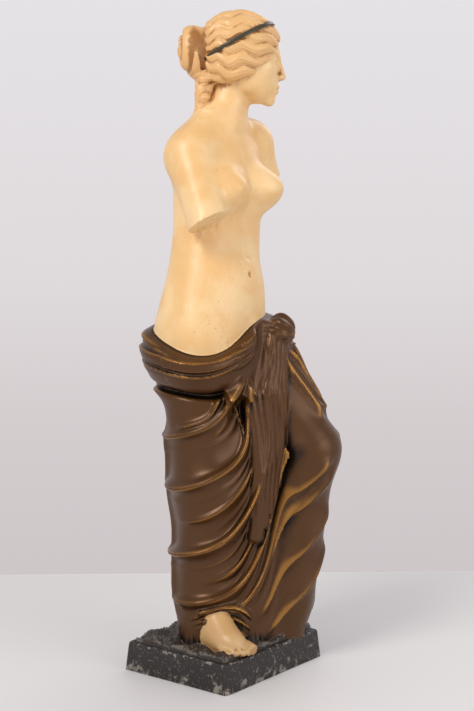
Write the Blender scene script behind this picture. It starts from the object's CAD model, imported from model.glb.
import math

import bmesh
import bpy
import numpy as np
from mathutils import Euler, Matrix, Vector


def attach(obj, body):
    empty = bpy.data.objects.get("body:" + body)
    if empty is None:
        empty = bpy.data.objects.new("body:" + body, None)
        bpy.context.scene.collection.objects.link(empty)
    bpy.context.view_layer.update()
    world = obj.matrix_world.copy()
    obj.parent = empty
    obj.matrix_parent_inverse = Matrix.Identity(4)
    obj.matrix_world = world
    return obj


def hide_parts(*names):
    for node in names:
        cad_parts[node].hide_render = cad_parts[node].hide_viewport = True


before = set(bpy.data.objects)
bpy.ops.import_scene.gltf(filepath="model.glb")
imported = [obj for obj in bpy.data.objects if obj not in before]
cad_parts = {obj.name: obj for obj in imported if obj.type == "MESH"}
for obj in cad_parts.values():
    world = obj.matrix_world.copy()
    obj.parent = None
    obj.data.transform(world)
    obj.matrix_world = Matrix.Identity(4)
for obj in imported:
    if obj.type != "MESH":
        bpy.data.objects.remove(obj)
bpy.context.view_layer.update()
print("frame loaded")

# Stage: the table, the light and the camera at the photograph's viewing angle.
camera = {"azimuth": -51.23, "distance": 1.206, "height": 0.387, "pitch": 3.66, "yaw": -0.59,
          "focalPixels": 1218.1, "imageHeight": 711, "sensor": 36.0}
table = {"width": 2.6, "front": 1.10, "back": 0.377, "thickness": 0.04, "edge": 0.004, "tilt": 1.2}
# the pale wall behind: share of the way up the sky, and its colour there
wall = ((0.36, (0.60, 0.55, 0.56)), (0.44, (0.66, 0.61, 0.62)), (0.50, (0.74, 0.70, 0.715)),
        (0.62, (0.79, 0.77, 0.80)), (0.72, (0.55, 0.54, 0.56)), (1.0, (0.42, 0.41, 0.43)))
light = {"key": (-0.95, -1.25, 1.55), "keySize": 0.7, "keyPower": 19.0,
         "fill": (1.35, -1.15, 0.9), "fillSize": 1.2, "fillPower": 9.0,
         "rim": (0.9, 1.1, 1.5), "rimSize": 1.0, "rimPower": 6.0}


def towards(azimuth):
    a = math.radians(azimuth)
    return Vector((math.sin(a), -math.cos(a), 0.0))


def newObject(name, mesh):
    obj = bpy.data.objects.new(name, mesh)
    bpy.context.scene.collection.objects.link(obj)
    return obj


def placeCamera():
    data = bpy.data.cameras.new("camera")
    data.sensor_width = camera["sensor"]
    data.lens = camera["sensor"] * camera["focalPixels"] / camera["imageHeight"]
    obj = newObject("camera", data)
    obj.location = towards(camera["azimuth"]) * camera["distance"] + Vector((0, 0, camera["height"]))
    pitch = math.radians(camera["pitch"])
    look = -towards(camera["azimuth"] + camera["yaw"]) * math.cos(pitch) - Vector((0, 0, math.sin(pitch)))
    obj.rotation_euler = look.to_track_quat("-Z", "Y").to_euler()
    bpy.context.scene.camera = obj


def placeLight(name, place, size, power, colour=(1, 1, 1), aim=(0, 0, 0.33)):
    data = bpy.data.lights.new(name, "AREA")
    data.shape = "SQUARE"
    data.size = size
    data.energy = power
    data.color = colour
    turn = Matrix.Rotation(math.radians(camera["azimuth"]), 4, "Z")  # places are given as the camera sees them
    obj = newObject(name, data)
    obj.location = turn @ Vector(place)
    obj.rotation_euler = (Vector(aim) - obj.location).to_track_quat("-Z", "Y").to_euler()


def placeLights():
    bpy.context.scene.view_settings.view_transform = "Standard"
    placeLight("keyLight", light["key"], light["keySize"], light["keyPower"], (1.0, 0.98, 0.95))
    placeLight("fillLight", light["fill"], light["fillSize"], light["fillPower"], (0.95, 0.97, 1.0))
    placeLight("rimLight", light["rim"], light["rimSize"], light["rimPower"])
    world = bpy.data.worlds.new("studio")
    world.use_nodes = True
    tree = world.node_tree
    height = tree.nodes.new("ShaderNodeSeparateXYZ")
    tree.links.new(tree.nodes.new("ShaderNodeTexCoord").outputs["Generated"], height.inputs[0])
    share = tree.nodes.new("ShaderNodeMapRange")
    share.inputs["From Min"].default_value = -1.0
    tree.links.new(height.outputs["Z"], share.inputs["Value"])
    ramp = tree.nodes.new("ShaderNodeValToRGB")
    Shader.fillRamp(ramp.color_ramp, wall)
    tree.links.new(share.outputs["Result"], ramp.inputs[0])
    tree.links.new(ramp.outputs["Color"], tree.nodes["Background"].inputs["Color"])
    bpy.context.scene.world = world


def buildTable():
    bm = bmesh.new()
    bmesh.ops.create_cube(bm, size=1.0)
    size = (table["width"], table["front"] + table["back"], table["thickness"])
    bmesh.ops.scale(bm, verts=bm.verts, vec=size)
    bmesh.ops.translate(bm, verts=bm.verts, vec=(0, (table["back"] - table["front"]) / 2, -table["thickness"] / 2))
    bmesh.ops.bevel(bm, geom=bm.edges[:], offset=table["edge"], segments=2, profile=0.5,
                    affect="EDGES", material=-1)
    turn = math.radians(camera["azimuth"] + table["tilt"])
    bmesh.ops.rotate(bm, verts=bm.verts, matrix=Matrix.Rotation(turn, 3, "Z"))
    mesh = bpy.data.meshes.new("tableTop")
    bm.to_mesh(mesh)
    bm.free()
    obj = newObject("tableTop", mesh)
    return obj


# Shader maths: a socket that takes Python's operators, and one method for any other node.
class Wire:
    def __init__(self, shader, socket):
        self.shader = shader
        self.socket = socket

    def maths(self, operation, other, flipped=False):
        pair = (other, self) if flipped else (self, other)
        return self.shader.add("ShaderNodeMath", {"operation": operation}, *pair)

    def __add__(self, other):
        return self.maths("ADD", other)

    def __radd__(self, other):
        return self.maths("ADD", other)

    def __sub__(self, other):
        return self.maths("SUBTRACT", other)

    def __rsub__(self, other):
        return self.maths("SUBTRACT", other, True)

    def __mul__(self, other):
        return self.maths("MULTIPLY", other)

    def __rmul__(self, other):
        return self.maths("MULTIPLY", other)


class Shader:
    def __init__(self, name):
        self.material = bpy.data.materials.new(name)
        self.material.use_nodes = True
        self.tree = self.material.node_tree
        self.surface = self.tree.nodes["Principled BSDF"]

    def feed(self, socket, value):
        if isinstance(value, Wire):
            self.tree.links.new(value.socket, socket)
        elif isinstance(value, tuple) and len(value) == 3 and socket.type == "RGBA":
            socket.default_value = (*value, 1.0)
        else:
            socket.default_value = value

    def add(self, kind, settings=None, *values, output=0, **named):
        node = self.tree.nodes.new(kind)
        for key, value in (settings or {}).items():
            if key == "stops":
                self.fillRamp(node.color_ramp, value)
            else:
                setattr(node, key, value)
        for socket, value in zip(node.inputs, values):
            if value is not None:
                self.feed(socket, value)
        for key, value in named.items():
            self.feed(node.inputs[key.replace("_", " ")], value)
        return Wire(self, node.outputs[output])

    @staticmethod
    def fillRamp(ramp, stops):
        while len(ramp.elements) < len(stops):
            ramp.elements.new(0.5)
        for element, (position, colour) in zip(ramp.elements, stops):
            element.position = position
            element.color = (*colour, 1.0) if isinstance(colour, tuple) else (colour, colour, colour, 1.0)

    def attribute(self, name):
        return self.add("ShaderNodeAttribute", {"attribute_name": name, "attribute_type": "GEOMETRY"}, output=2)

    def place(self):
        return self.add("ShaderNodeTexCoord", output=3)

    def noise(self, scale, detail=3.0, rough=0.55, stretch=None, warp=0.0):
        where = self.place()
        if stretch:
            where = self.add("ShaderNodeMapping", {}, where, Scale=stretch)
        return self.add("ShaderNodeTexNoise", {}, Vector=where, Scale=scale, Detail=detail,
                        Roughness=rough, Distortion=warp)

    def ramp(self, value, low, high):
        return self.add("ShaderNodeMapRange", {"interpolation_type": "SMOOTHSTEP"},
                        value, low, high, 0.0, 1.0)

    def mix(self, share, first, second):
        node = self.tree.nodes.new("ShaderNodeMix")
        node.data_type = "RGBA"
        self.feed(node.inputs["Factor"], share)
        self.feed(node.inputs[6], first)
        self.feed(node.inputs[7], second)
        return Wire(self, node.outputs[2])

    def blend(self, share, first, second):
        return first + share * (second - first) if isinstance(first, Wire) else share * (second - first) + first

    def bump(self, height, strength, distance, base=None):
        return self.add("ShaderNodeBump", {}, Strength=strength, Distance=distance, Height=height,
                        **({"Normal": base} if base else {}))

    def finish(self, **values):
        for key, value in values.items():
            self.feed(self.surface.inputs[key.replace("_", " ")], value)
        return self.material


# Fields: signed distances in shares of the figure's height, negative inside.
def blend(a, b, k):
    h = np.clip(0.5 + 0.5 * (b - a) / k, 0.0, 1.0)
    return b + (a - b) * h - k * h * (1.0 - h)


def carve(a, b, k):
    return -blend(-a, b, k)


def smoothStep(low, high, x):
    t = np.clip((x - low) / (high - low), 0.0, 1.0)
    return t * t * (3.0 - 2.0 * t)


def bell(x, width):
    return np.exp(-((x / width) ** 2))


def curveThrough(knots, values):
    knots, values = np.asarray(knots, float), np.asarray(values, float)
    slopes = np.gradient(values, knots)

    def at(x):
        x = np.clip(x, knots[0], knots[-1])
        i = np.clip(np.searchsorted(knots, x) - 1, 0, len(knots) - 2)
        h = knots[i + 1] - knots[i]
        t = (x - knots[i]) / h
        start = values[i] * (1 + 2 * t) * (1 - t) ** 2 + slopes[i] * h * t * (1 - t) ** 2
        return start + values[i + 1] * t * t * (3 - 2 * t) + slopes[i + 1] * h * t * t * (t - 1)

    return at


def turned(degrees):
    return np.array(Euler([math.radians(a) for a in degrees]).to_matrix())


def ellipsoid(p, centre, radii, turn=(0, 0, 0)):
    q = (p - centre) @ turned(turn) if any(turn) else p - centre
    radii = np.asarray(radii, float)
    k0 = np.linalg.norm(q / radii, axis=1)
    k1 = np.linalg.norm(q / radii**2, axis=1)
    return k0 * (k0 - 1.0) / np.maximum(k1, 1e-9)


def limb(p, start, end, rStart, rEnd, flat=1.0, across=(1, 0, 0)):
    start, end = np.asarray(start, float), np.asarray(end, float)
    axis = end - start
    t = np.clip((p - start) @ axis / (axis @ axis), 0.0, 1.0)
    q = p - (start + t[:, None] * axis)
    if flat != 1.0:
        n = np.asarray(across, float) / np.linalg.norm(across)
        q = q + np.outer((q @ n) * (1.0 / flat - 1.0), n)
    return np.linalg.norm(q, axis=1) - (rStart + (rEnd - rStart) * t)


def partOf(p, near, form, far=0.3):
    d = np.full(len(p), far)
    if near.any():
        d[near] = form(p[near])
    return d


def mirrored(q):
    return np.stack([np.abs(q[:, 0]), q[:, 1], q[:, 2]], axis=1)


def lumps(p, pitch, seed=0.0):
    x, y, z = (p[:, k] * 2 * math.pi / pitch + seed * (1.3 + k) for k in range(3))
    wave = np.sin(x + 1.3 * np.sin(0.7 * y + 0.3 * z)) * np.cos(1.1 * y + 0.9 * np.sin(0.8 * x + z))
    return 0.6 * wave + 0.4 * np.sin(1.9 * y + 1.7 * z) * np.cos(2.3 * x - 0.6 * z)


figure = {
    "height": 0.620,        # from the plinth's top to the crown, in metres; all below are shares of it
    "voxel": 0.00115,       # fineness of the carved surface, in metres
    "headCuts": 1,
    "triangles": 190000,
    "shoulders": {-1: (-0.073, 0.010, 0.762), 1: (0.077, 0.008, 0.794)},
    "stumps": {-1: (-0.099, -0.048, 0.662), 1: (0.096, -0.002, 0.738)},
    "stumpCuts": {-1: (0.20, -0.55, -1.0), 1: (0.45, -0.1, -1.0)},
    "armRadii": (0.0345, 0.0310),
    "deltoid": (0.032, 0.035, 0.037),
    "breasts": {-1: (-0.046, -0.040, 0.712), 1: (0.036, -0.041, 0.719)},
    "neckRoot": (0.000, 0.006, 0.812),
    "neckTop": (0.012, -0.012, 0.892),
    # height, centre x, centre y, half width, depth to the front, depth to the back
    "torso": [
        (0.410, -0.020, 0.004, 0.091, 0.072, 0.086),
        (0.455, -0.022, 0.006, 0.098, 0.073, 0.086),
        (0.500, -0.022, 0.008, 0.098, 0.073, 0.078),
        (0.540, -0.020, 0.010, 0.091, 0.071, 0.067),
        (0.580, -0.017, 0.010, 0.083, 0.067, 0.059),
        (0.620, -0.013, 0.010, 0.077, 0.063, 0.056),
        (0.660, -0.009, 0.009, 0.075, 0.061, 0.057),
        (0.710, -0.006, 0.007, 0.078, 0.060, 0.060),
        (0.755, -0.004, 0.006, 0.079, 0.054, 0.057),
        (0.790, -0.003, 0.007, 0.074, 0.042, 0.050),
        (0.815, -0.002, 0.009, 0.060, 0.030, 0.040),
        (0.835, -0.001, 0.009, 0.038, 0.024, 0.032),
    ],
}
torsoRows = np.array(figure["torso"])
torsoCurves = [curveThrough(torsoRows[:, 0], torsoRows[:, k]) for k in range(1, 6)]


def torso(p, squareness=2.3):
    cx, cy, wide, front, back = (c(p[:, 2]) for c in torsoCurves)
    x = np.abs(p[:, 0] - cx) / wide
    y = p[:, 1] - cy
    deep = np.where(y < 0, front, back)
    k = (x**squareness + (np.abs(y) / deep) ** squareness) ** (1.0 / squareness)
    d = (k - 1.0) * np.minimum(wide, deep) * 0.92
    return np.maximum(d, np.maximum(p[:, 2] - torsoRows[-1, 0], torsoRows[0, 0] - p[:, 2]))


def armStump(p, side):
    shoulder, stump = np.array(figure["shoulders"][side]), np.array(figure["stumps"][side])
    cut = np.array(figure["stumpCuts"][side])
    cut = cut / np.linalg.norm(cut)
    arm = limb(p, shoulder, stump + 0.25 * (stump - shoulder), *figure["armRadii"])
    return carve(arm, -((p - stump) @ cut) - 0.0010 * lumps(p, 0.014), 0.0018)


def shoulderAndBreast(p, d, side):
    shoulder, breast = np.array(figure["shoulders"][side]), np.array(figure["breasts"][side])
    d = blend(d, ellipsoid(p, shoulder + (0.002 * side, 0, 0.004), figure["deltoid"]), 0.028)
    d = blend(d, armStump(p, side), 0.014)
    d = blend(d, limb(p, (0.026 * side, 0.014, 0.830), shoulder + (0, 0.004, 0.008), 0.016, 0.022), 0.024)
    d = blend(d, ellipsoid(p, breast, (0.0360, 0.036, 0.0345), (12, 0, -14 * side)), 0.018)
    d = blend(d, ellipsoid(p, breast + (0.006 * side, -0.022, 0.001), (0.012, 0.015, 0.012)), 0.018)
    d = blend(d, ellipsoid(p, breast + (0.009 * side, -0.0365, 0.001), (0.0035, 0.0035, 0.0035)), 0.004)
    d = blend(d, ellipsoid(p, (0.042 * side, 0.046, 0.764), (0.028, 0.020, 0.045), (0, 12 * side, 0)), 0.022)
    collar = limb(p, (0.006 * side, -0.020, 0.818), shoulder + (-0.020 * side, -0.014, 0.020), 0.0045, 0.005)
    return blend(d, collar, 0.012)


def body(p):
    d = torso(p)
    for side in (-1, 1):
        d = shoulderAndBreast(p, d, side)
    d = blend(d, ellipsoid(p, (-0.018, -0.026, 0.555), (0.052, 0.038, 0.058)), 0.030)
    d = blend(d, limb(p, figure["neckRoot"], figure["neckTop"], 0.0335, 0.0290), 0.024)
    d = carve(d, limb(p, (-0.013, -0.058, 0.615), (-0.007, -0.058, 0.685), 0.003, 0.003), 0.012)
    d = carve(d, ellipsoid(p, (-0.017, -0.067, 0.584), (0.0040, 0.008, 0.0050)), 0.004)
    d = carve(d, limb(p, (-0.006, -0.066, 0.712), (-0.002, -0.046, 0.780), 0.001, 0.001), 0.010)
    d = carve(d, limb(p, (-0.098, -0.046, 0.545), (-0.050, -0.074, 0.470), 0.001, 0.001), 0.010)
    return carve(d, limb(p, (-0.020, 0.078, 0.540), (-0.004, 0.070, 0.735), 0.004, 0.004), 0.016)


# The head, in head heights from chin to crown, turned to the figure's left.
head = {
    "centre": (0.016, -0.026, 0.919),
    "height": 0.139,
    "turn": (3, 2, 45),
    "knot": (0.0, 0.560, 0.070), "knotRadii": (0.190, 0.160, 0.270), "turns": 2.2,
    "locks": 16,
    "lockHeight": 0.030,
    "lids": (((0.072, -0.335, 0.000), (0.138, -0.352, 0.034), 0.010),
             ((0.138, -0.352, 0.034), (0.210, -0.286, 0.002), 0.010),
             ((0.076, -0.335, -0.014), (0.138, -0.344, -0.036), 0.008),
             ((0.138, -0.344, -0.036), (0.206, -0.288, -0.008), 0.008)),
    "band": {"normal": (0, 0.525, 0.851), "offset": 0.200, "half": 0.020, "proud": 0.016},
}
headTurn = turned(head["turn"])
hairKnot = np.array(head["knot"])


def headFrame(p):
    return (p - np.array(head["centre"])) @ headTurn / head["height"]


def skull(q):
    m = mirrored(q)
    d = ellipsoid(q, (0, 0.045, 0.150), (0.335, 0.420, 0.350))
    d = blend(d, ellipsoid(q, (0, -0.135, 0.060), (0.265, 0.265, 0.300)), 0.06)
    d = blend(d, ellipsoid(q, (0, -0.150, -0.120), (0.255, 0.240, 0.270)), 0.06)
    d = blend(d, ellipsoid(q, (0, -0.165, -0.270), (0.205, 0.210, 0.200)), 0.06)
    d = blend(d, ellipsoid(m, (0.150, -0.030, -0.240), (0.085, 0.130, 0.130)), 0.08)
    d = blend(d, ellipsoid(q, (0, -0.310, -0.420), (0.080, 0.070, 0.070)), 0.06)
    return blend(d, ellipsoid(m, (0.150, -0.235, -0.090), (0.090, 0.090, 0.080)), 0.08)


def face(q):
    m = mirrored(q)
    d = blend(skull(q), limb(m, (0.030, -0.365, 0.075), (0.190, -0.285, 0.075), 0.030, 0.022), 0.05)
    d = carve(d, ellipsoid(m, (0.135, -0.420, -0.005), (0.085, 0.090, 0.058)), 0.05)
    d = blend(d, ellipsoid(m, (0.138, -0.288, -0.005), (0.078, 0.066, 0.050)), 0.012)
    d = blend(d, limb(q, (0, -0.372, 0.120), (0, -0.455, -0.150), 0.028, 0.036), 0.035)
    d = blend(d, ellipsoid(m, (0.045, -0.410, -0.165), (0.032, 0.042, 0.030)), 0.02)
    d = blend(d, ellipsoid(q, (0, -0.335, -0.270), (0.110, 0.070, 0.110)), 0.05)
    d = blend(d, ellipsoid(m, (0.028, -0.394, -0.268), (0.050, 0.026, 0.022)), 0.02)
    d = blend(d, ellipsoid(q, (0, -0.388, -0.322), (0.055, 0.030, 0.026)), 0.02)
    for start, end, size in head["lids"]:
        d = blend(d, limb(m, start, end, size, size * 0.8), 0.008)
    d = carve(d, ellipsoid(m, (0.026, -0.436, -0.194), (0.010, 0.018, 0.008)), 0.006)
    return carve(d, limb(q, (-0.075, -0.400, -0.296), (0.075, -0.400, -0.296), 0.004, 0.004), 0.014)


def hairMass(q):
    d = ellipsoid(q, (0, 0.055, 0.150), (0.385, 0.450, 0.385))
    d = blend(d, ellipsoid(q, (0, 0.130, -0.060), (0.345, 0.320, 0.280)), 0.08)
    d = carve(d, ellipsoid(q, (0, -0.440, -0.230), (0.335, 0.400, 0.520)), 0.05)
    d = carve(d, ellipsoid(q, (0, 0.100, -0.490), (0.400, 0.480, 0.250)), 0.06)
    d = blend(d, ellipsoid(q, hairKnot, head["knotRadii"], (-8, 0, 0)), 0.04)
    d = blend(d, limb(q, (0, 0.430, -0.200), (-0.02, 0.430, -0.460), 0.085, 0.070), 0.05)
    return blend(d, limb(q, (-0.02, 0.430, -0.460), (-0.05, 0.470, -0.720), 0.065, 0.035), 0.04)


def hairWaves(q):
    r = q - hairKnot
    along = np.linalg.norm(r, axis=1)
    angle = np.arctan2(r[:, 0], r[:, 2])
    phase = head["locks"] * angle + 1.2 * np.sin(along * 26.0 + 0.9 * np.sin(3 * angle))
    coil = r / np.array(head["knotRadii"])
    rho = np.hypot(coil[:, 0], coil[:, 2])
    wound = head["turns"] * 2 * math.pi * rho - np.arctan2(coil[:, 0], coil[:, 2])
    onKnot = smoothStep(1.45, 1.15, np.linalg.norm(coil, axis=1))
    lock = (1 - onKnot) * np.sqrt(0.5 + 0.5 * np.cos(phase)) + onKnot * np.sqrt(0.5 + 0.5 * np.cos(wound))
    strand = (1 - onKnot) * np.cos(4 * phase + np.sin(along * 40)) + onKnot * np.cos(4 * wound)
    return head["lockHeight"] * (lock + 0.07 * (1 + strand))


def hair(q):
    return (hairMass(q) - hairWaves(q)) * head["height"]


def hairBand(q):
    band = head["band"]
    off = q @ np.array(band["normal"]) - band["offset"]
    shell = ellipsoid(q, (0, 0.055, 0.150), (0.385, 0.450, 0.385)) - head["lockHeight"] - band["proud"]
    d = np.maximum(shell, np.abs(off) - band["half"])
    return np.maximum(d, -shell - 0.06) * head["height"]


foot = {
    "heel": (-0.052, 0.010, 0.020), "ball": (-0.070, -0.076, 0.012),
    "toeLengths": (0.026, 0.024, 0.022, 0.020, 0.017),
    "toeRadii": (0.0085, 0.0064, 0.0062, 0.0060, 0.0056),
    "toePitch": 0.0100,
}


def bareFoot(p):
    heel, ball = np.array(foot["heel"]), np.array(foot["ball"])
    along = (ball - heel) * (1, 1, 0)
    along = along / np.linalg.norm(along)
    across = np.array((-along[1], along[0], 0.0))
    d = limb(p, heel, ball, 0.026, 0.019)
    d = blend(d, limb(p, heel + (0, -0.020, 0.040), ball + (0, 0.016, 0.008), 0.026, 0.020), 0.02)
    for n, (long, thick) in enumerate(zip(foot["toeLengths"], foot["toeRadii"])):
        root = ball + across * (0.018 - foot["toePitch"] * n) + along * (0.006 - 0.003 * n)
        tip = root + along * long - (0, 0, 0.004)
        d = blend(d, limb(p, root, tip, thick, thick * 0.92), 0.0035)
        nail = ellipsoid(p, tip + (0, 0, thick * 0.9), (thick * 0.55, thick * 0.6, thick * 0.25))
        d = carve(d, nail, 0.0008)
    return d


mantle = {
    "knee": (0.086, -0.112, 0.306),
    "waist": {"height": 0.516, "dip": 0.050, "dipAngle": -66.0, "dipWidth": 46.0},
    "knot": (0.050, -0.076, 0.496), "knotRadii": (0.027, 0.021, 0.026),
    "sheet": {"columns": 1080, "rows": 840, "low": -0.02, "high": 0.54, "radius": 0.115},
    "rolls": ((0.018, 0.010), (0.042, 0.011), (0.064, 0.006)),  # drop below the waist and height of each turn
    "wrinkles": (0.006, 0.028, 0.034, 0.053, 0.058),
    # swags from the knot round the right thigh: (angle, height) points, height and width of each
    "swags": [
        ([(-24, 0.430), (-52, 0.386), (-82, 0.350), (-118, 0.332), (-162, 0.346)], 0.010, 0.010),
        ([(-16, 0.428), (-44, 0.344), (-70, 0.288), (-102, 0.256), (-152, 0.268)], 0.014, 0.012),
        ([(-12, 0.410), (-36, 0.322), (-60, 0.254), (-88, 0.212), (-122, 0.198)], 0.007, 0.008),
        ([(-6, 0.392), (-26, 0.300), (-52, 0.218), (-84, 0.164), (-120, 0.148), (-175, 0.160)], 0.017, 0.012),
        ([(2, 0.352), (-18, 0.258), (-44, 0.176), (-74, 0.122), (-104, 0.102)], 0.008, 0.008),
        ([(10, 0.330), (-10, 0.222), (-40, 0.138), (-76, 0.088), (-114, 0.072), (-156, 0.082)], 0.013, 0.012),
        ([(26, 0.300), (0, 0.186), (-32, 0.106), (-66, 0.064), (-92, 0.052)], 0.008, 0.009),
    ],
    "tail": {"pleats": 5, "radii": (0.0100, 0.0125, 0.0150, 0.0130), "proud": 0.005,
             "first": ((35, 0.486), (16, 0.400), (4, 0.318), (-2, 0.258)),
             "last": ((21, 0.486), (-16, 0.392), (-36, 0.276), (-42, 0.178))},
}
knee = np.array(mantle["knee"])
legBars = (
    ((-0.056, 0.008, 0.430), (-0.050, -0.010, 0.250), 0.060, 0.050),
    ((-0.050, -0.010, 0.250), (-0.042, 0.004, 0.000), 0.050, 0.044),
    ((0.058, -0.014, 0.430), knee, 0.072, 0.040),
    (knee, (0.076, -0.066, 0.060), 0.036, 0.038),
    (knee + (-0.004, 0.014, -0.020), (0.070, -0.070, -0.010), 0.032, 0.030),
    ((0.000, 0.030, 0.390), (0.012, 0.016, -0.010), 0.056, 0.046),
    ((0.000, -0.036, 0.310), (0.016, -0.038, -0.010), 0.044, 0.044),
    ((0.030, 0.014, 0.410), (0.056, -0.012, 0.000), 0.054, 0.046),
)


def mantleAxis(z):
    t = smoothStep(0.30, 0.44, z)
    return 0.015 * (1 - t) - 0.008 * t, -0.038 * (1 - t)


def angleRound(p):
    x, y = mantleAxis(p[:, 2])
    return np.degrees(np.arctan2(p[:, 0] - x, -(p[:, 1] - y)))


def waistLine(angle):
    waist = mantle["waist"]
    off = (angle - waist["dipAngle"] + 180.0) % 360.0 - 180.0
    return waist["height"] + 0.008 * np.sin(np.radians(angle)) - waist["dip"] * bell(off, waist["dipWidth"])


def mantleForms(p, angle):
    above = smoothStep(-0.004, 0.010, p[:, 2] - waistLine(angle))
    d = torso(p, 2.2) - 0.006 + 0.022 * above
    for bar in legBars:
        d = blend(d, limb(p, *bar), 0.036)
    return d


class FoldSheet:  # heights of the folds, unrolled by angle and height
    def __init__(self):
        sheet = mantle["sheet"]
        self.columns, self.rows = sheet["columns"], sheet["rows"]
        self.low, self.high = sheet["low"], sheet["high"]
        self.perDegree = sheet["radius"] * math.pi / 180.0
        self.angles = (np.arange(self.columns) + 0.5) * 360.0 / self.columns - 180.0
        self.heights = np.linspace(self.low, self.high, self.rows)
        self.ridges = np.zeros((self.rows, self.columns))
        self.grooves = np.zeros((self.rows, self.columns))

    def fold(self, path, height, width, steep=0.55, thinStart=0.15, thinEnd=0.25, groove=False):
        route = self.smoothRoute(path)
        reach = 2.6 * width
        nearRow = np.abs(self.heights - route[:, 1].mean()) < np.ptp(route[:, 1]) / 2 + reach + 0.01
        off = (self.angles - route[:, 0].mean() + 180.0) % 360.0 - 180.0
        nearColumn = np.abs(off) < np.ptp(route[:, 0]) / 2 + reach / self.perDegree + 1
        rows, columns = np.where(nearRow)[0], np.where(nearColumn)[0]
        if not len(rows) or not len(columns):
            return
        x, z = np.meshgrid((off[columns] + route[:, 0].mean()) * self.perDegree, self.heights[rows])
        side, along = (a.reshape(x.shape) for a in self.offRoute(x.ravel(), z.ravel(), route))
        wide = np.where(side > 0, width, width * steep)
        ridge = height / (1.0 + (side / wide) ** 2) ** 2
        ridge = ridge * smoothStep(0.0, thinStart, along + 0.02) * smoothStep(0.0, thinEnd, 1.02 - along)
        target = self.grooves if groove else self.ridges
        window = np.ix_(rows, columns)
        target[window] = (target[window] ** 3 + ridge**3) ** (1 / 3)

    def smoothRoute(self, path, steps=40):
        path = np.asarray(path, float)
        runs = np.hypot(np.diff(path[:, 0]) * self.perDegree, np.diff(path[:, 1]))
        knots = np.concatenate([[0], np.cumsum(runs)])
        t = np.linspace(0, knots[-1], steps)
        if len(path) < 3:
            return np.stack([np.interp(t, knots, path[:, k]) for k in (0, 1)], axis=1)
        return np.stack([curveThrough(knots, path[:, k])(t) for k in (0, 1)], axis=1)

    def offRoute(self, x, z, route):
        a = route[:-1] * (self.perDegree, 1.0)
        b = route[1:] * (self.perDegree, 1.0)
        ab = b - a
        best = np.zeros(len(x), int)
        least = np.full(len(x), 1e9)
        side, along = np.zeros(len(x)), np.zeros(len(x))
        flow = -1.0 if route[-1, 0] < route[0, 0] else 1.0
        for n in range(len(ab)):
            px, pz = x - a[n, 0], z - a[n, 1]
            t = np.clip((px * ab[n, 0] + pz * ab[n, 1]) / (ab[n] @ ab[n]), 0, 1)
            dx, dz = px - t * ab[n, 0], pz - t * ab[n, 1]
            gap = np.hypot(dx, dz)
            closer = gap < least
            turn = np.sign(ab[n, 0] * dz - ab[n, 1] * dx) * flow
            side = np.where(closer, turn * gap, side)
            along = np.where(closer, (n + t) / len(ab), along)
            least = np.minimum(least, gap)
        return side, along

    def family(self, first, last, count, height, width, **shape):
        first, last = np.asarray(first, float), np.asarray(last, float)
        for n in range(count):
            share = n / max(count - 1, 1)
            swell = 1.0 + 0.18 * math.sin(2.4 * n + 1.0)
            self.fold(first + (last - first) * share, height * swell, width * swell, **shape)

    def at(self, angle, z):
        sheet = self.ridges - self.grooves
        column = (angle + 180.0) / 360.0 * self.columns - 0.5
        row = np.clip((z - self.low) / (self.high - self.low) * (self.rows - 1), 0, self.rows - 1.001)
        c0, r0 = np.floor(column).astype(int), np.floor(row).astype(int)
        fc, fr = column - c0, row - r0
        c1, r1 = (c0 + 1) % self.columns, r0 + 1
        c0 = c0 % self.columns
        low = sheet[r0, c0] * (1 - fc) + sheet[r0, c1] * fc
        high = sheet[r1, c0] * (1 - fc) + sheet[r1, c1] * fc
        return low * (1 - fr) + high * fr


def rollPath(drop, side):
    if side == "left":
        return [(-170, 0.512 - drop), (-215, 0.516 - drop), (-270, 0.520 - 0.9 * drop),
                (-325, 0.520 - 0.7 * drop), (-350, 0.514 - 0.5 * drop)]
    return [(-190, 0.512 - drop), (-141, 0.513 - drop), (-100, 0.498 - drop),
            (-66, 0.474 - 0.74 * drop), (-35, 0.486 - 0.62 * drop), (-4, 0.512 - 0.5 * drop)]


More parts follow.
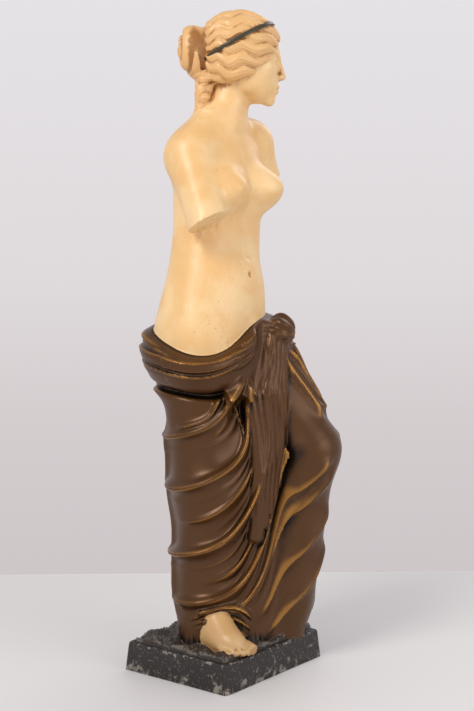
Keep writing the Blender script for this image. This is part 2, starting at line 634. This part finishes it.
def layFolds():
    sheet = FoldSheet()
    for side in ("right", "left"):
        for drop, height in mantle["rolls"]:  # the rolled top edge
            sheet.fold(rollPath(drop, side), height, 0.016, steep=0.8, thinStart=0.02, thinEnd=0.1)
    undercut = [(-190, 0.420), (-141, 0.416), (-100, 0.406), (-66, 0.400), (-36, 0.418)]
    sheet.fold(undercut, 0.014, 0.009, steep=1.0, groove=True)
    for path, height, width in mantle["swags"]:
        sheet.fold(path, height, width, steep=0.8, thinStart=0.1)
    sheet.family([(-56, 0.398), (-78, 0.364), (-110, 0.344)],  # fanning out from under the roll
                 [(-46, 0.398), (-50, 0.356), (-56, 0.324)], 3, 0.006, 0.006)
    sheet.family([(24, 0.470), (30, 0.420), (34, 0.352)],  # drawn tight between the knot and the knee
                 [(48, 0.480), (56, 0.430), (54, 0.350)], 3, 0.010, 0.009)
    sheet.family([(34, 0.282), (10, 0.200), (-24, 0.112), (-60, 0.060)],  # falling from the knee to the foot
                 [(50, 0.160), (30, 0.086), (6, 0.036), (-18, 0.010)], 3, 0.008, 0.013, steep=0.8)
    sheet.family([(-104, 0.056), (-84, 0.066), (-62, 0.058), (-44, 0.040)],  # breaking over the foot
                 [(-98, 0.022), (-84, 0.030), (-66, 0.022), (-54, 0.008)], 3, 0.008, 0.007)
    sheet.family([(-128, 0.360), (-136, 0.200), (-126, 0.020)],  # the plain back
                 [(-232, 0.370), (-226, 0.200), (-238, 0.010)], 7, 0.010, 0.014, steep=0.9)
    sheet.family([(78, 0.430), (56, 0.390), (34, 0.362)],  # the left side, drawn to the knee
                 [(118, 0.310), (86, 0.250), (52, 0.246)], 4, 0.008, 0.012)
    sheet.family([(58, 0.220), (64, 0.110), (60, 0.000)],
                 [(116, 0.250), (112, 0.120), (116, 0.000)], 4, 0.008, 0.012, steep=0.9)
    return sheet


def layWrinkles():  # finer creases, laid over the folds
    sheet = FoldSheet()
    for n, drop in enumerate(mantle["wrinkles"]):
        for side in ("right", "left"):
            path = [(a, z + 0.003 * math.sin(2.1 * n + 0.7 * k)) for k, (a, z) in enumerate(rollPath(drop, side))]
            sheet.fold(path, 0.0032, 0.0038, steep=0.7, thinStart=0.1 + 0.05 * n, thinEnd=0.06)
    for path, height, width in mantle["swags"]:
        sag = [0.024 * math.sin(math.pi * (0.25 + 0.5 * k / len(path))) for k in range(len(path))]
        crease = [(a, z - d) for (a, z), d in zip(path, sag)]
        sheet.fold(crease, height * 0.20, 0.0050, steep=0.7, thinStart=0.2, thinEnd=0.7)
    sheet.family([(-8, 0.470), (-22, 0.452), (-40, 0.440)],  # gathers at the knot
                 [(-6, 0.500), (-24, 0.482), (-48, 0.468)], 5, 0.0035, 0.0032, steep=0.8)
    sheet.family([(30, 0.462), (38, 0.420), (40, 0.370)],
                 [(70, 0.476), (72, 0.440), (64, 0.400)], 6, 0.0030, 0.0040, steep=0.8)
    sheet.family([(-110, 0.044), (-90, 0.060), (-64, 0.050), (-46, 0.030)],
                 [(-100, 0.016), (-84, 0.024), (-66, 0.016), (-56, 0.004)], 5, 0.0030, 0.0032)
    sheet.family([(-140, 0.330), (-150, 0.180), (-146, 0.020)],
                 [(-222, 0.340), (-216, 0.180), (-220, 0.010)], 9, 0.0030, 0.0060, steep=0.9)
    return sheet


def onMantle(angle, z):
    turn = math.radians(angle)
    x, y = mantleAxis(z)
    reach = np.linspace(0.0, 0.2, 401)
    ray = np.stack([x + reach * math.sin(turn), y - reach * math.cos(turn), np.full(len(reach), z)], axis=1)
    inside = mantleForms(ray, np.full(len(reach), float(angle))) < mantle["tail"]["proud"]
    return ray[np.where(inside)[0][-1]]


def tailBars():
    tail = mantle["tail"]
    first, last = np.array(tail["first"], float), np.array(tail["last"], float)
    for n in range(tail["pleats"]):
        path = first + (last - first) * n / (tail["pleats"] - 1)
        points = [onMantle(angle, z) for angle, z in path]
        for k in range(len(points) - 1):
            yield points[k], points[k + 1], tail["radii"][k], tail["radii"][k + 1]


bars = list(tailBars())


def tailForm(p):
    d = np.full(len(p), 0.3)
    for bar in bars:
        d = blend(d, limb(p, *bar), 0.0010)
    crease = np.sin(p[:, 0] * 620 - p[:, 1] * 330 + 3.0 * np.sin(p[:, 2] * 34)) * np.cos(p[:, 2] * 26)
    return d - 0.0007 * crease


def knotForm(p):
    q = (p - np.array(mantle["knot"])) @ turned((0, 20, 30)) / np.array(mantle["knotRadii"])
    wraps = np.sin(7.0 * np.arctan2(q[:, 2], q[:, 0]) + 2.2 * q[:, 1])
    return ellipsoid(p, np.array(mantle["knot"]), mantle["knotRadii"], (0, 20, 30)) - 0.0016 * wraps


folds = layFolds()
folds.ridges = folds.ridges + layWrinkles().ridges
print("folds laid")


def mantleField(p):
    angle = angleRound(p)
    fade = smoothStep(-0.001, 0.010, waistLine(angle) - p[:, 2])
    d = mantleForms(p, angle) - folds.at(angle, p[:, 2]) * fade
    d = blend(d, tailForm(p), 0.004)
    return blend(d, knotForm(p), 0.006)


base = {
    "width": 0.246, "depth": 0.202, "height": 0.045, "taper": 0.004, "corner": 0.008, "edge": 0.003,
    "groundMargin": 0.010,
    "rock": (0.076, -0.060, 0.014), "rockRadii": (0.034, 0.032, 0.048),
    "wear": 0.0020, "wearPitch": 0.055,
}
plinthTop = base["height"] * figure["height"]  # metres; the figure's own heights start here


def ground(p):
    x, y, z = p[:, 0] * 95, p[:, 1] * 95, p[:, 2]
    swell = np.sin(x + 1.3 * np.sin(0.7 * y)) * np.cos(1.2 * y + 0.8 * np.sin(0.9 * x))
    pebbles = lumps(p, 0.017) * 0.0016 + lumps(p, 0.009, 2.0) * 0.0007
    d = (z - 0.007 - 0.004 * swell - pebbles) * 0.8
    d = blend(d, ellipsoid(p, np.array(base["rock"]), base["rockRadii"], (0, 0, 20)) + 0.002 * swell - pebbles, 0.01)
    half = np.array((base["width"], base["depth"])) / 2 - base["groundMargin"]
    return np.maximum(d, (np.abs(p[:, :2]) - half).max(axis=1))


def plinth(p):
    drop = np.clip(-p[:, 2] / base["height"], 0, 1)
    half = np.array((base["width"] / 2, base["depth"] / 2)) + base["taper"] * drop[:, None]
    flat = np.abs(p[:, :2]) - half + base["corner"]
    side = np.linalg.norm(np.maximum(flat, 0), axis=1) + np.minimum(flat.max(axis=1), 0) - base["corner"]
    chips = np.clip(lumps(p, base["wearPitch"], 1.0) + 0.5 * lumps(p, base["wearPitch"] * 0.3), 0, 1)
    both = np.stack([side + base["edge"], p[:, 2] + base["edge"]], axis=1)
    rounded = np.linalg.norm(np.maximum(both, 0), axis=1) + np.minimum(both.max(axis=1), 0) - base["edge"]
    d = rounded + base["wear"] * chips * smoothStep(-0.014, 0.0, side + p[:, 2])
    return np.maximum(d, -p[:, 2] - base["height"])


def figureFields(p):
    z = p[:, 2]
    q = headFrame(p)
    skin = partOf(p, (z > 0.38) & (z < 0.93), body)
    skin = blend(skin, partOf(q, z > 0.79, lambda r: face(r) * head["height"]), 0.010)
    hairs = partOf(q, z > 0.79, hair)
    band = partOf(q, z > 0.85, hairBand)
    nearFoot = (z < 0.12) & (p[:, 1] < 0.06) & (p[:, 0] < 0.0)
    skin = np.minimum(skin, partOf(p, nearFoot, bareFoot))
    cloth = partOf(p, z < 0.57, mantleField)
    soil = partOf(p, z < 0.09, ground)
    block = partOf(p, z < 0.02, plinth)
    return skin, hairs, band, cloth, soil, block


def wholeField(p):
    skin, hairs, band, cloth, soil, block = figureFields(p)
    d = blend(skin, np.minimum(hairs, band), 0.0014)
    d = blend(d, cloth, 0.002)
    return np.minimum(np.minimum(d, soil), block)


def toShares(points):
    return (points - (0, 0, plinthTop)) / figure["height"]


def readVectors(mesh, kind):
    values = np.empty(len(mesh.vertices) * 3, np.float32)
    mesh.vertices.foreach_get(kind, values)
    return values.reshape(-1, 3).astype(float)


def bakeModifiers(obj):
    bpy.context.view_layer.update()
    graph = bpy.context.evaluated_depsgraph_get()
    made = bpy.data.meshes.new_from_object(obj.evaluated_get(graph))
    old = obj.data
    obj.modifiers.clear()
    obj.data = made
    bpy.data.meshes.remove(old)


def remesh(obj, voxel):
    modifier = obj.modifiers.new("fuse", "REMESH")
    modifier.mode = "VOXEL"
    modifier.voxel_size = voxel
    bakeModifiers(obj)


def settle(obj, passes, reach, probe=0.0006):
    for _ in range(passes):
        points = toShares(readVectors(obj.data, "co"))
        normals = readVectors(obj.data, "normal")
        here = wholeField(points)
        slope = np.clip((wholeField(points + normals * probe) - here) / probe, 0.4, 1.2)
        move = np.clip(-here / slope, -reach, reach)
        points = points + normals * move[:, None]
        points = points * figure["height"] + (0, 0, plinthTop)
        points[:, 2] = np.maximum(points[:, 2], 0.0)
        obj.data.vertices.foreach_set("co", points.astype(np.float32).ravel())
        obj.data.update()


def refineHead(obj, cuts):
    bm = bmesh.new()
    bm.from_mesh(obj.data)
    line = plinthTop + figure["height"] * (head["centre"][2] - 0.62 * head["height"])
    near = [e for e in bm.edges if min(v.co.z for v in e.verts) > line]
    bmesh.ops.subdivide_edges(bm, edges=near, cuts=cuts, use_grid_fill=True)
    bm.to_mesh(obj.data)
    bm.free()


def thinOut(obj, triangles):
    modifier = obj.modifiers.new("thin", "DECIMATE")
    modifier.ratio = triangles / sum(len(p.vertices) - 2 for p in obj.data.polygons)
    bakeModifiers(obj)


def keepValues(mesh, name, values):
    attribute = mesh.attributes.new(name, "FLOAT", "POINT")
    attribute.data.foreach_set("value", values.astype(np.float32))


def markRegions(obj):
    points, normals = toShares(readVectors(obj.data, "co")), readVectors(obj.data, "normal")
    skin, hairs, band, cloth, soil, block = figureFields(points)
    z = points[:, 2]
    covered = (z < waistLine(angleRound(points)) - 0.010) & (z > 0.20)
    skin = np.where(covered, cloth + 0.01, skin)  # a deep undercut shows cloth, not skin
    keepValues(obj.data, "clothSide", np.minimum(skin, hairs) - cloth)
    keepValues(obj.data, "baseSide", np.minimum(np.minimum(skin, hairs), cloth) - np.minimum(soil, block))
    keepValues(obj.data, "groundSide", block - soil)
    keepValues(obj.data, "hairSide", skin - hairs)
    keepValues(obj.data, "bandSide", np.minimum(skin, hairs) - band)
    slope = np.clip(wholeField(points + normals * 0.0006) / 0.0006, 0.3, 1.3)
    for name, reach in (("hollow", 0.004), ("deepHollow", 0.013)):
        keepValues(obj.data, name, 1.0 - wholeField(points + normals * reach) / reach / slope)
    for name, reach in (("ridge", 0.004), ("wideRidge", 0.011)):
        keepValues(obj.data, name, 1.0 + wholeField(points - normals * reach) / reach / slope)


def carveStatue():
    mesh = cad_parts["statue"].data.copy()
    bm = bmesh.new()
    bm.from_mesh(mesh)
    bmesh.ops.remove_doubles(bm, verts=bm.verts, dist=1e-5)
    bm.to_mesh(mesh)
    bm.free()
    mesh.materials.clear()
    obj = newObject("carvedStatue", mesh)
    remesh(obj, figure["voxel"] * 1.25)
    settle(obj, 2, 0.004)
    remesh(obj, figure["voxel"])
    settle(obj, 2, 0.002)
    refineHead(obj, figure["headCuts"])
    settle(obj, 2, 0.001)
    print("carved:", len(obj.data.vertices), "points")
    thinOut(obj, figure["triangles"])
    markRegions(obj)
    obj.data.shade_smooth()
    return obj


paint = {
    "flesh": (0.80, 0.49, 0.200), "fleshPale": (0.86, 0.61, 0.31), "fleshDeep": (0.42, 0.175, 0.040),
    "hair": (0.76, 0.45, 0.185), "hairDeep": (0.34, 0.140, 0.030), "band": (0.040, 0.036, 0.016),
    "bronze": (0.090, 0.036, 0.0090), "bronzeGold": (0.330, 0.155, 0.036), "bronzeDark": (0.012, 0.005, 0.002),
    "black": (0.016, 0.013, 0.011), "blackWorn": (0.36, 0.31, 0.26), "ground": (0.045, 0.030, 0.020),
    "soiled": (0.46, 0.26, 0.10), "edge": 0.0004,
}


def paintStatue():
    s = Shader("paintedPlaster")
    hollow, deep = s.attribute("hollow"), s.attribute("deepHollow")
    ridge, wide = s.attribute("ridge"), s.attribute("wideRidge")
    mottle, fine = s.noise(26, 4), s.noise(240, 3)
    edge = paint["edge"]

    flesh = s.mix(s.ramp(mottle, 0.35, 0.70), paint["flesh"], paint["fleshPale"])
    flesh = s.mix(s.ramp(hollow + deep * 0.6, 0.10, 0.90) * 0.85, flesh, paint["fleshDeep"])
    curls = s.mix(s.ramp(hollow * 1.1 + (fine - 0.5) * 0.4, 0.05, 0.65), paint["hair"], paint["hairDeep"])
    flesh = s.mix(s.ramp(s.attribute("hairSide"), -edge, edge), flesh, curls)
    holes = s.ramp(s.noise(520, 1, 0.4), 0.70, 0.76) * s.ramp(s.noise(17, 2), 0.50, 0.62)
    flesh = s.mix(holes * 0.6, flesh, paint["fleshDeep"])
    flesh = s.mix(s.ramp(s.attribute("bandSide"), -edge, edge), flesh, paint["band"])
    height = s.add("ShaderNodeSeparateXYZ", {}, s.place(), output=2)
    flesh = s.mix(s.ramp(height, 0.14, 0.02) * 0.75, flesh, paint["soiled"])

    gold = s.ramp(ridge + wide * 0.7 + (mottle - 0.5) * 0.7, 0.20, 0.95)
    dark = s.ramp(hollow * 0.9 + deep * 0.7 - (fine - 0.5) * 0.4, 0.12, 0.85)
    bronze = s.mix(gold, paint["bronze"], paint["bronzeGold"])
    bronze = s.mix(dark, bronze, paint["bronzeDark"])

    worn = s.ramp(ridge + wide * 0.4 + (s.noise(110, 6, 0.75) - 0.5) * 2.4, 0.34, 0.62)
    scuffs = s.ramp(s.noise(75, 6, 0.8), 0.60, 0.70) * 0.55 + s.ramp(s.noise(430, 2, 0.6), 0.60, 0.70) * 0.35
    black = s.mix(s.add("ShaderNodeMath", {"operation": "MAXIMUM"}, worn * 0.75, scuffs), paint["black"], paint["blackWorn"])
    black = s.mix(s.ramp(s.attribute("groundSide"), -edge, edge) * 0.6, black, paint["ground"])

    clothMask = s.ramp(s.attribute("clothSide"), -edge, edge)
    baseMask = s.ramp(s.attribute("baseSide"), -edge, edge)
    colour = s.mix(baseMask, s.mix(clothMask, flesh, bronze), black)
    rough = s.blend(clothMask, 0.30 + fine * 0.14, 0.24 + mottle * 0.22)
    rough = s.blend(baseMask, rough, 0.42 + fine * 0.24)
    bump = s.bump(s.noise(160, 4, 0.6), 0.10, 0.001)
    metal = clothMask * (1 - baseMask) * (0.45 + gold * 0.3)
    return s.finish(Base_Color=colour, Roughness=rough, Metallic=metal, Normal=bump)


def paintPlain(name, first, second):
    s = Shader(name)
    return s.finish(Base_Color=s.mix(s.noise(2.0, 2), first, second), Roughness=0.5)


placeCamera()
placeLights()
tableTop = buildTable()
tableTop.data.materials.append(paintPlain("whiteTable", (0.78, 0.755, 0.74), (0.82, 0.795, 0.78)))
print("stage set")
statue = carveStatue()
statue.data.materials.append(paintStatue())
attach(statue, "root")
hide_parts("statue")
print("statue carved:", len(statue.data.polygons), "faces")
